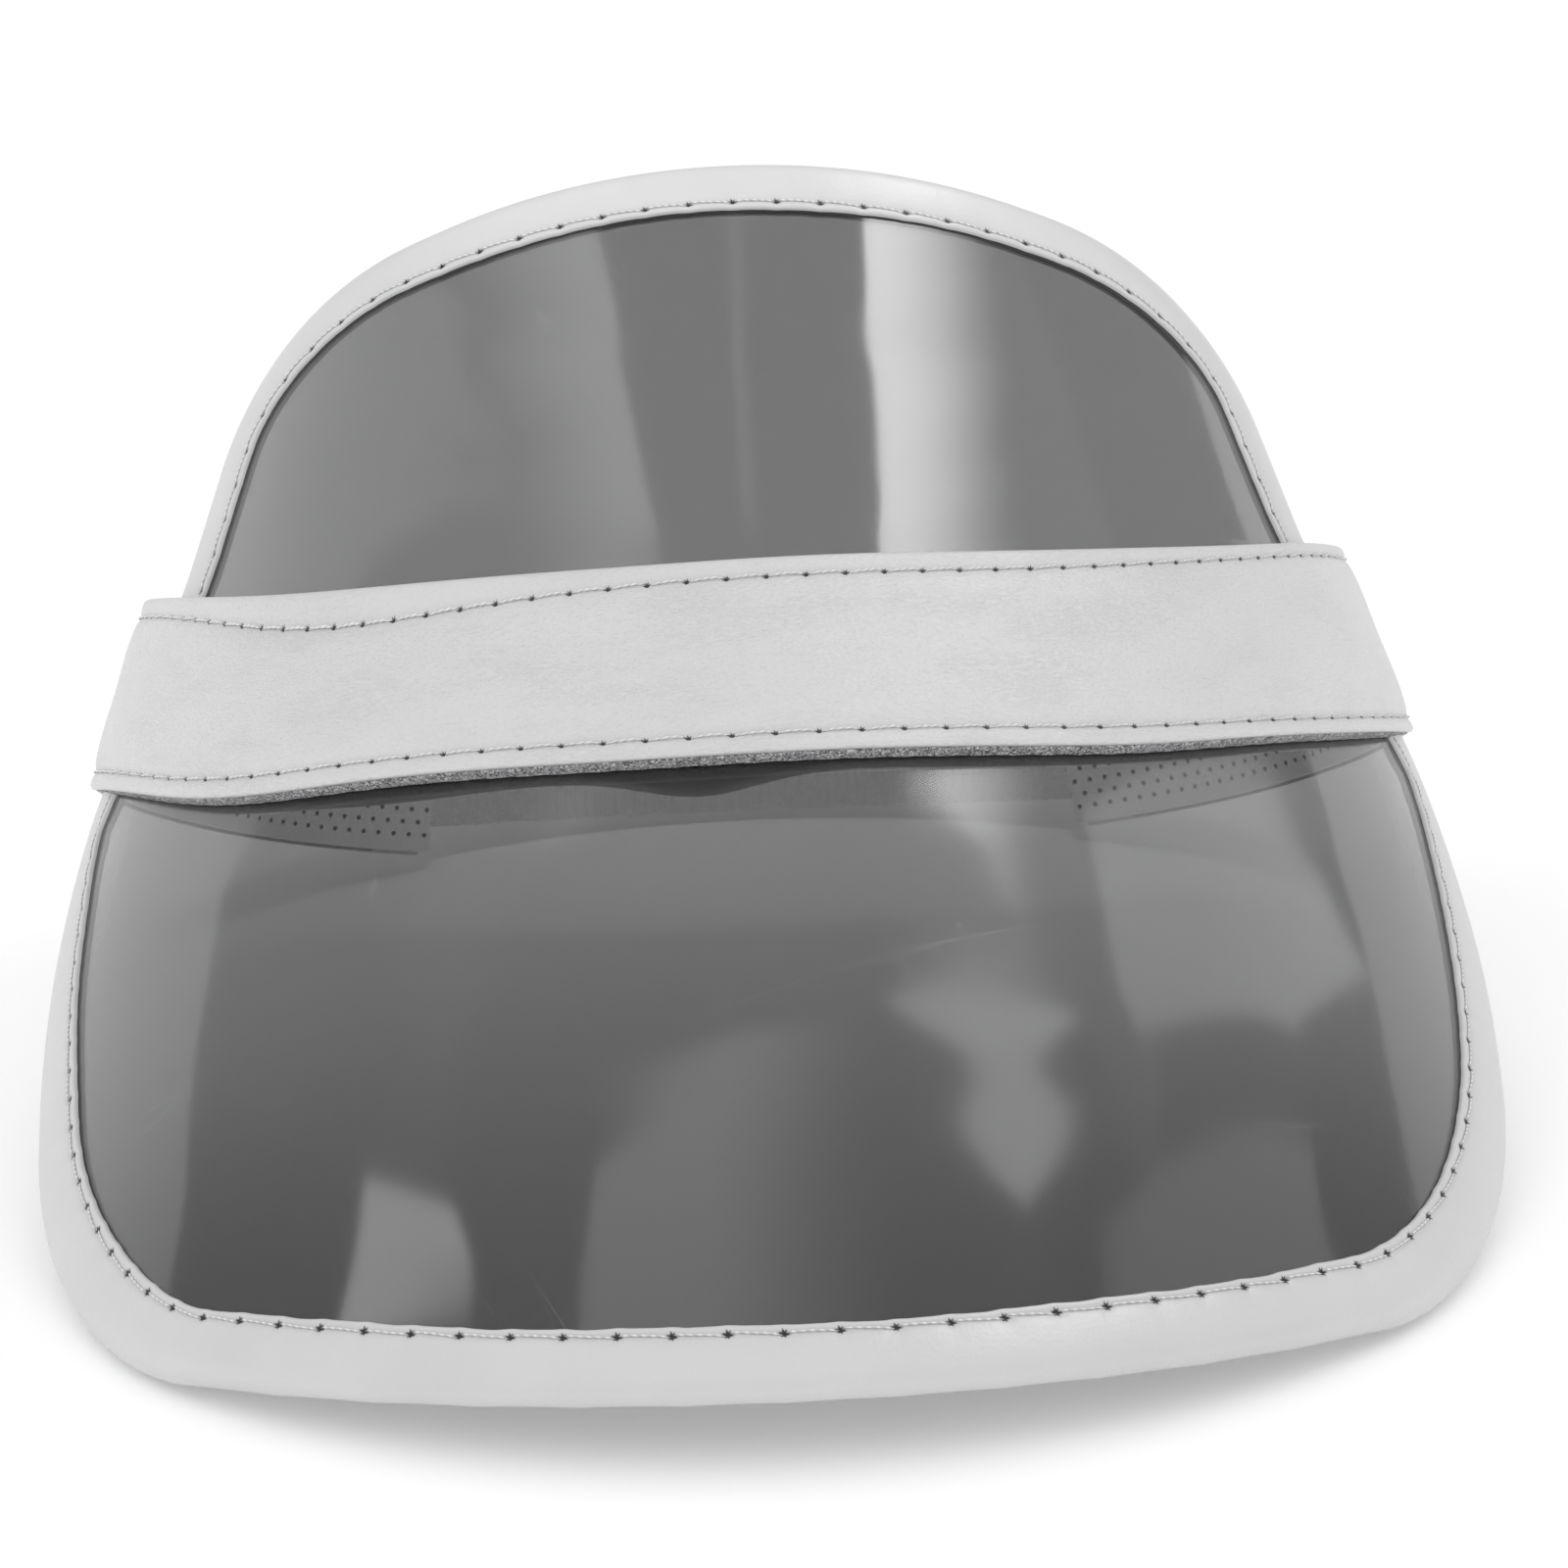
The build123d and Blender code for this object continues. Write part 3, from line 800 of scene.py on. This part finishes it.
class Number:
    """A value that changes over a surface. Arithmetic on it adds Math nodes."""

    def __init__(self, finish, socket):
        self.finish, self.socket = finish, socket

    def maths(self, operation, *values):
        settings = {"operation": operation}
        inputs = dict(enumerate(values))
        return self.finish.node("ShaderNodeMath", settings, inputs)

    def __add__(self, other):
        return self.maths("ADD", self, other)

    def __sub__(self, other):
        return self.maths("SUBTRACT", self, other)

    def __rsub__(self, other):
        return self.maths("SUBTRACT", other, self)

    def __mul__(self, other):
        return self.maths("MULTIPLY", self, other)

    def __truediv__(self, other):
        return self.maths("DIVIDE", self, other)

    def __pow__(self, other):
        return self.maths("POWER", self, other)

    def __abs__(self):
        return self.maths("ABSOLUTE", self)

    def __round__(self):
        return self.maths("ROUND", self)

    __radd__, __rmul__ = __add__, __mul__

    def largest(self, *others):
        most = self
        for other in others:
            most = self.maths("MAXIMUM", most, other)
        return most

    def above(self, edge, width):
        """0 below edge, 1 past edge plus width, and a smooth rise between."""
        return self.finish.node(
            "ShaderNodeMapRange",
            {"interpolation_type": "SMOOTHSTEP"},
            {"Value": self, "From Min": edge, "From Max": edge + width},
        )


class Finish:
    """A material, and the one way that its nodes are made."""

    def __init__(self, name):
        self.material = bpy.data.materials.new(name)
        self.material.use_nodes = True
        self.tree = self.material.node_tree
        self.tree.nodes.clear()

    def node(self, kind, settings=None, inputs=None, output=0):
        made = self.tree.nodes.new(kind)
        for key, value in (settings or {}).items():
            if key == "stops":
                self.set_stops(made.color_ramp, value)
            else:
                setattr(made, key, value)
        for key, value in (inputs or {}).items():
            if isinstance(value, Number):
                self.tree.links.new(value.socket, made.inputs[key])
            else:
                made.inputs[key].default_value = value
        return Number(self, made.outputs[output]) if made.outputs else None

    def set_stops(self, ramp, stops):
        while len(ramp.elements) < len(stops):
            ramp.elements.new(0.5)
        for element, (place_on, colour) in zip(ramp.elements, stops):
            element.position = place_on
            element.color = (*colour, 1)

    def map(self):
        """The piece's own map: run and offset."""
        return self.split(self.node("ShaderNodeTexCoord", output="UV"))

    def split(self, vector):
        parts = self.tree.nodes.new("ShaderNodeSeparateXYZ")
        self.tree.links.new(vector.socket, parts.inputs[0])
        return [Number(self, parts.outputs[k]) for k in range(3)]

    def vector(self, x, y, z=0.0):
        return self.node("ShaderNodeCombineXYZ", None, {0: x, 1: y, 2: z})

    def place(self, scale):
        """Object coordinates, scaled."""
        coordinates = self.node("ShaderNodeTexCoord", output="Object")
        return self.node("ShaderNodeMapping", None, {"Vector": coordinates, "Scale": scale})

    def noise(self, vector, scale, detail=3.0, roughness=0.5):
        inputs = {"Vector": vector, "Scale": scale, "Detail": detail, "Roughness": roughness}
        return self.node("ShaderNodeTexNoise", None, inputs)

    def cells(self, vector, scale, output="Distance", feature="F1"):
        inputs = {"Vector": vector, "Scale": scale}
        return self.node("ShaderNodeTexVoronoi", {"feature": feature}, inputs, output)

    def ramp(self, value, stops, interpolation="LINEAR"):
        made = self.node("ShaderNodeValToRGB", {"stops": stops}, {0: value})
        made.socket.node.color_ramp.interpolation = interpolation
        return made

    def mix(self, factor, first, second):
        settings = {"data_type": "RGBA"}
        return self.node("ShaderNodeMix", settings, {0: factor, 6: first, 7: second}, output=2)

    def bump(self, height, distance, strength):
        inputs = {"Height": height, "Distance": distance, "Strength": strength}
        return self.node("ShaderNodeBump", None, inputs)

    def surface(self, **inputs):
        """The Principled shader and the output. Underscores stand for spaces."""
        named = {key.replace("_", " "): value for key, value in inputs.items()}
        shader = self.node("ShaderNodeBsdfPrincipled", None, named)
        self.node("ShaderNodeOutputMaterial", None, {"Surface": shader})
        return self.material


def near_whole(run):
    """Distance from the nearest whole number."""
    return abs(run - round(run))


def hole_mask(run, offset, pitch, seam, size):
    """1 in the needle holes: three short crossed strokes at each whole stitch."""
    along = (run - round(run)) * pitch
    across = abs(offset) - seam
    strokes = []
    for turn, length, width in ((0.15, 1.0, 0.34), (1.25, 0.85, 0.27), (-0.95, 0.8, 0.24)):
        x = along * (math.cos(turn) / length) + across * (math.sin(turn) / length)
        y = across * (math.cos(turn) / width) - along * (math.sin(turn) / width)
        strokes.append(1 - ((x * x + y * y) ** 0.5).above(size * 0.5, size * 0.6))
    return strokes[0].largest(*strokes[1:])


def smoke_sheet():
    f = Finish("smoke_sheet")
    run, offset, _ = f.map()
    coarse = f.noise(f.place((30, 30, 30)), 1.0, 3)
    hairs = []
    for turn, scale, edge in ((0.35, 0.9, 0.0016), (-1.1, 0.7, 0.0014), (1.9, 1.1, 0.0014)):
        x = run * math.cos(turn) + offset * math.sin(turn)
        y = offset * math.cos(turn) - run * math.sin(turn)
        field = f.noise(f.vector(x * 0.007 * scale, y * 0.16 * scale), 1.0, 0.0)
        hairs.append(1 - abs(field - 0.5).above(edge * 0.4, edge))
    scratch = hairs[0].largest(*hairs[1:])
    wear_and_seam_shade = f.noise(f.vector(run * 0.03, offset * 0.03), 1.0, 2.0)
    scratch = scratch * wear_and_seam_shade.above(0.52, 0.16)
    colour = f.mix(scratch * 0.3, (0.022, 0.022, 0.024, 1), (0.30, 0.30, 0.31, 1))
    rough = coarse * 0.09 + 0.035 + scratch * 0.15
    flow = f.noise(f.place((9, 9, 22)), 1.0, 2)
    return f.surface(
        Base_Color=colour,
        Roughness=rough,
        IOR=1.53,
        Specular_IOR_Level=0.85,
        Alpha=0.61,
        Normal=f.bump(flow, 0.004, 0.35),
    )


def tape():
    f = Finish("binding_tape")
    run, offset, _ = f.map()
    holes = hole_mask(run, offset, RIM_PITCH, RIM_SEAM, 0.72)
    pebbles = f.cells(f.place((1, 1, 1)), 1900.0)
    fine = f.noise(f.place((700, 700, 700)), 1.0, 3)
    tone = f.noise(f.place((60, 60, 60)), 1.0, 3)
    unshaded_tone = f.ramp(tone, [(0.3, (0.612, 0.612, 0.617)), (0.7, (0.642, 0.642, 0.643))])
    # Painted shade: the tape is mixed towards grey along the groove at its seam and over its rolled outer rim, where
    # the shape turns from the light.
    wear_and_seam_shade = (1 - abs(offset - RIM_SEAM).above(0.1, 0.9)) * 0.16
    rolled = (1 - offset.above(0.0, 1.6)) * 0.14
    seam_and_rim_shaded = f.mix(wear_and_seam_shade + rolled, unshaded_tone, (0.42, 0.42, 0.43, 1))
    colour = f.mix(holes, seam_and_rim_shaded, (0.035, 0.035, 0.035, 1))
    height = pebbles * 0.5 + fine * 0.6 - holes * 2.0
    return f.surface(
        Base_Color=colour,
        Roughness=fine * 0.12 + 0.3,
        Normal=f.bump(height, 0.00008, 0.55),
    )


def wrinkled_cover():
    f = Finish("white_pu")
    run, offset, _ = f.map()
    along = run * BAND_PITCH
    holes = hole_mask(run, offset, BAND_PITCH, BAND_SEAM, 0.62)
    creases = f.noise(f.vector(along * 0.42, offset * 1.25), 1.0, 4.0, 0.6)
    lines = 1 - abs(creases - 0.5).above(0.0, 0.07)
    where = f.noise(f.vector(along * 0.05, offset * 0.12, 4.0), 1.0, 2.0)
    creased = where.above(0.42, 0.2)
    grain = f.cells(f.vector(along * 1.1, offset * 1.9), 1.5, feature="SMOOTH_F1")
    fine = f.noise(f.vector(along * 0.8, offset * 1.5), 2.4, 3.0)
    tone = f.noise(f.vector(along * 0.06, offset * 0.12), 1.0, 2.0)
    unshaded_tone = f.ramp(tone, [(0.3, (0.655, 0.655, 0.66)), (0.7, (0.675, 0.675, 0.677))])
    crease_shade = f.mix(lines * creased * 0.03, unshaded_tone, (0.50, 0.50, 0.51, 1))
    gutter = 1 - abs(abs(offset) - BAND_SEAM).above(0.15, 0.8)
    shaded = f.mix(gutter * 0.13, crease_shade, (0.45, 0.45, 0.46, 1))
    colour = f.mix(holes, shaded, (0.04, 0.04, 0.04, 1))
    puckers = f.noise(f.vector(run * 2.0, offset * 0.5), 1.0, 1.0) * gutter
    height = grain * 0.9 + fine * 0.8 - lines * creased * 0.25 + puckers * 1.2
    return f.surface(
        Base_Color=colour,
        Roughness=0.34 + fine * 0.16,
        Coat_Weight=0.12,
        Coat_Roughness=0.3,
        Normal=f.bump(height, 0.00024, 0.65),
    )


def flecked_foam():
    f = Finish("flecked_foam")
    spots = f.place((1, 1, 1))
    pick = f.cells(spots, 5000.0, output="Color")
    value = f.split(pick)[0]
    flecks = f.ramp(
        value,
        [
            (0.0, (0.10, 0.10, 0.10)),
            (0.20, (0.27, 0.27, 0.28)),
            (0.55, (0.41, 0.41, 0.42)),
            (0.86, (0.66, 0.66, 0.66)),
        ],
        "CONSTANT",
    )
    depth = f.cells(spots, 4200.0)
    return f.surface(Base_Color=flecks, Roughness=0.92, Normal=f.bump(depth, 0.00012, 0.6))


def dotted_lining():
    f = Finish("perforated_lining")
    run, offset, _ = f.map()
    row = offset / DOT_ROW
    dx = near_whole(run / DOT_PITCH + round(row) * 0.5) * DOT_PITCH
    dy = near_whole(row) * DOT_ROW
    reach = (dx * dx + dy * dy) ** 0.5
    dots = 1 - reach.above(0.30, 0.25)
    weave = f.noise(f.vector(run * 2.0, offset * 2.6), 1.0, 3.0)
    edge = abs(offset).above(12.6, 0.3)
    keep = dots * (1 - edge)
    cloth = f.ramp(weave, [(0.3, (0.78, 0.78, 0.79)), (0.7, (0.88, 0.88, 0.88))])
    colour = f.mix(keep, cloth, (0.10, 0.10, 0.10, 1))
    height = weave * 0.4 - keep * 2.0
    return f.surface(
        Base_Color=colour,
        Roughness=0.82,
        Sheen_Weight=0.15,
        Normal=f.bump(height, 0.00018, 0.7),
    )


def ribbed_elastic():
    f = Finish("white_elastic")
    run, offset, _ = f.map()
    threads = f.noise(f.vector(run * 5.0, offset * 1.2), 1.0, 3.0)
    bars = f.node(
        "ShaderNodeTexWave",
        {"bands_direction": "Y"},
        {"Vector": f.vector(run, offset), "Scale": 0.52, "Distortion": 0.6},
        "Fac",
    )
    cloth = f.ramp(threads, [(0.3, (0.64, 0.64, 0.65)), (0.7, (0.90, 0.90, 0.90))])
    return f.surface(
        Base_Color=cloth,
        Roughness=0.8,
        Sheen_Weight=0.2,
        Normal=f.bump(bars * 0.6 + threads * 0.5, 0.00015, 0.6),
    )


def twisted_thread():
    f = Finish("white_thread")
    run, turn, _ = f.map()
    twist = run.maths("SINE", (run * 2.1 + turn * 2.0) * math.pi)
    ply = f.ramp(twist * 0.5 + 0.5, [(0.0, (0.62, 0.62, 0.63)), (0.6, (0.88, 0.88, 0.88))])
    return f.surface(
        Base_Color=ply,
        Roughness=0.55,
        Sheen_Weight=0.25,
        Normal=f.bump(twist, 0.00010, 0.8),
    )


# ---- The visor put together -------------------------------------------------------------

finishes = {
    "smoke_pvc": smoke_sheet(),
    "binding_tape": tape(),
    "white_pu": wrinkled_cover(),
    "grey_foam": flecked_foam(),
    "perforated_lining": dotted_lining(),
    "white_elastic": ribbed_elastic(),
    "white_thread": twisted_thread(),
}


def fitted(piece, slot, *nodes):
    """Gives a piece its finish and says which CAD nodes it stands for."""
    piece.data.materials.clear()
    piece.data.materials.append(finishes[slot])
    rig.replaces(piece, *nodes)
    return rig.slot(piece, slot)


def on_root(piece, slot, *nodes):
    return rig.ride(fitted(piece, slot, *nodes), "root")


hinge_radial = (hinge_point - apex) - axis * ((hinge_point - apex) @ axis)
hinge_across = np.cross(axis, hinge_radial)
hinge_across *= np.sign(hinge_across[1]) / np.linalg.norm(hinge_across)
bend_point = hinge_point + hinge_across * TAIL_BEND


def on_tail(piece, side, slot, *nodes):
    """A piece that bends from the band to its tail, just behind the temple."""
    mirror = np.array([1 if side == "right" else -1, 1, 1])
    start = Vector(rested(hinge_point * mirror))
    end = Vector(rested(bend_point * mirror))
    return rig.blend(fitted(piece, slot, *nodes), "root", side + "_tail", start, end)


on_root(make_sheet(), "smoke_pvc", "visor_sheet")
on_root(make_binding(), "binding_tape", "edge_binding")
on_root(rim_stitches("rim_outer_stitches", False), "white_thread", "binding_needle_thread")
on_root(rim_stitches("rim_inner_stitches", True), "white_thread", "binding_bobbin_thread")
on_root(make_skin("band_skin", band), "white_pu", "band_cover")
on_root(make_padding("band_padding", band), "grey_foam", "band_foam")
on_root(make_lining("band_lining", band), "perforated_lining", "sweatband_lining")
on_root(strip_stitches("band_top_seam", band, 1), "white_thread", "band_upper_thread")
on_root(strip_stitches("band_low_seam", band, -1), "white_thread", "band_lower_thread")

for side, sign in (("left", -1), ("right", 1)):
    strip = tails[side]
    on_tail(make_skin(side + "_skin", strip), side, "white_pu", side + "_tail_cover")
    padding = make_padding(side + "_padding", strip, FREE_STITCHES)
    on_tail(padding, side, "grey_foam", side + "_tail_foam")
    on_tail(make_lining(side + "_lining", strip), side, "perforated_lining", side + "_tail_lining")
    rows = [strip_stitches(side + "_row", strip, edge, FREE_STITCHES) for edge in (1, -1)]
    seams = joined(side + "_seams", rows)
    on_tail(seams, side, "white_thread", side + "_tail_thread")
    tacks = [tack_stitches(side + "_tack", sign, inset) for inset in TACK_INSETS]
    sewn = joined(side + "_tacks", tacks)
    on_tail(sewn, side, "white_thread", side + "_join_thread")
    elastic = fitted(make_elastic(side + "_elastic", sign), "white_elastic", "rear_elastic")
    tail_end = Vector(rested(ring(sign * end_azimuth, np.array(ELASTIC_MIDDLE))))
    middle = Vector(rested(ring(180.0, np.array(ELASTIC_MIDDLE))))
    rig.blend(elastic, side + "_tail", "root", tail_end, middle)

# ---- Studio, in metres ------------------------------------------------------------------

CEILING = 1.0
FLOOR_SIZE, FLOOR_DROP = 12, 0.0005


def pale_floor():
    f = Finish("pale_floor")
    return f.surface(
        Base_Color=(0.96, 0.96, 0.96, 1),
        Roughness=0.7,
        Emission_Color=(1, 1, 1, 1),
        Emission_Strength=0.1,
    )


bpy.ops.object.select_all(action="DESELECT")
bpy.ops.mesh.primitive_plane_add(size=FLOOR_SIZE, location=(0, 0, -FLOOR_DROP))
floor = bpy.context.object
floor.name = "floor"
floor.data.materials.append(pale_floor())
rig.stage(floor)


def soft_panel(name, corners, near, far, fade=(0.0, 1.0), drop=0.02):
    """A glowing panel under the ceiling that only shows in reflections. Its glow runs from
    near on its left to far on its right, over the fade's start and width. Corners: front
    left, front right, rear left, rear right."""
    bpy.ops.object.select_all(action="DESELECT")
    bpy.ops.mesh.primitive_plane_add(size=1)
    panel = bpy.context.object
    panel.name = name
    for vertex, (x, y) in zip(panel.data.vertices, corners):
        vertex.co = (x, y, CEILING - drop)
    f = Finish(name)
    peak = max(near, far)
    ends = [(glow / peak, glow / peak, glow / peak, 1) for glow in (near, far)]
    f.surface(
        Base_Color=(0, 0, 0, 1),
        Roughness=1.0,
        Specular_IOR_Level=0.0,
        Emission_Color=f.mix(f.map()[0].above(*fade), *ends),
        Emission_Strength=peak,
    )
    panel.data.materials.append(f.material)
    panel.visible_camera = False
    panel.visible_diffuse = False
    panel.visible_shadow = False
    panel.visible_transmission = False
    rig.stage(panel)


soft_panel("dark_card", [(-1.95, -1.2), (2.6, -1.2), (-1.95, 2.6), (2.6, 2.6)], 0.16, 0.16, drop=0)
soft_panel(
    "right_softbox",
    [(0.285, 0.09), (0.80, 0.09), (0.365, 0.62), (1.0, 0.62)],
    near=7.5,
    far=0.35,
    fade=(0.02, 0.56),
    drop=0.01,
)
soft_panel(
    "left_softbox",
    [(-0.72, 0.09), (-0.175, 0.09), (-0.98, 0.55), (-0.45, 0.55)],
    near=0.25,
    far=1.9,
    fade=(0.42, 0.58),
    drop=0.01,
)
soft_panel("left_wall", [(-2.0, 1.35), (-0.53, 0.27), (-2.0, 2.4), (-0.90, 0.78)], 0.95, 0.75)
soft_panel("right_wall", [(0.80, 0.18), (1.48, 0.70), (0.70, 0.22), (2.6, 2.0)], 1.6, 1.6)
soft_panel(
    "brim_wedge", [(0.206, -0.036), (0.474, -0.067), (0.40, 0.03), (0.663, 0.116)], 2.55, 2.55
)
soft_panel("brim_spot", [(-0.98, 0.12), (-0.61, -0.054), (-0.90, 0.15), (-0.66, 0.02)], 2.95, 2.95)
soft_panel(
    "brim_glow",
    [(-0.52, -0.34), (0.42, -0.34), (-0.34, -0.07), (0.26, -0.07)],
    near=1.3,
    far=0.16,
    fade=(0.4, 0.55),
)
soft_panel("right_glow", [(0.62, -0.05), (1.7, 0.1), (0.82, 0.13), (1.5, 0.6)], 0.85, 0.85)
soft_panel("ceiling_seam", [(0.0, 0.09), (0.03, 0.09), (-0.03, 0.6), (0.01, 0.6)], 0.75, 0.5)


def lamp_at(name, kind, location, aim_at, power):
    """A lamp that doesn't show in reflections."""
    bpy.ops.object.select_all(action="DESELECT")
    bpy.ops.object.light_add(type=kind, location=location)
    lamp = bpy.context.object
    lamp.name = name
    lamp.data.energy = power
    facing = Vector(location) - Vector(aim_at)
    lamp.rotation_euler = facing.to_track_quat("Z", "Y").to_euler()
    lamp.visible_glossy = False
    return lamp


key = lamp_at("key", "AREA", (-0.9, -1.0, 1.3), (0, 0, 0.05), 1.3)
key.data.size = 1.2
inner = lamp_at("inner_light", "SPOT", (0, -0.16, 0.62), (0, 0.137, 0.022), 6.5)
inner.data.spot_size = math.radians(20)
inner.data.spot_blend = 1.0
inner.data.shadow_soft_size = 0.05

world = bpy.data.worlds.new("studio")
bpy.context.scene.world = world
world.use_nodes = True
background = world.node_tree.nodes["Background"]
background.inputs["Color"].default_value = (1, 1, 1, 1)
background.inputs["Strength"].default_value = 1.0
bpy.context.scene.view_settings.view_transform = "Standard"

visual_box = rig.bounds()
boxes = {"cad": [list(c) for c in cad_box], "visual": [list(c) for c in visual_box]}
with open("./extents.json", "w") as size_file:
    json.dump(boxes, size_file)
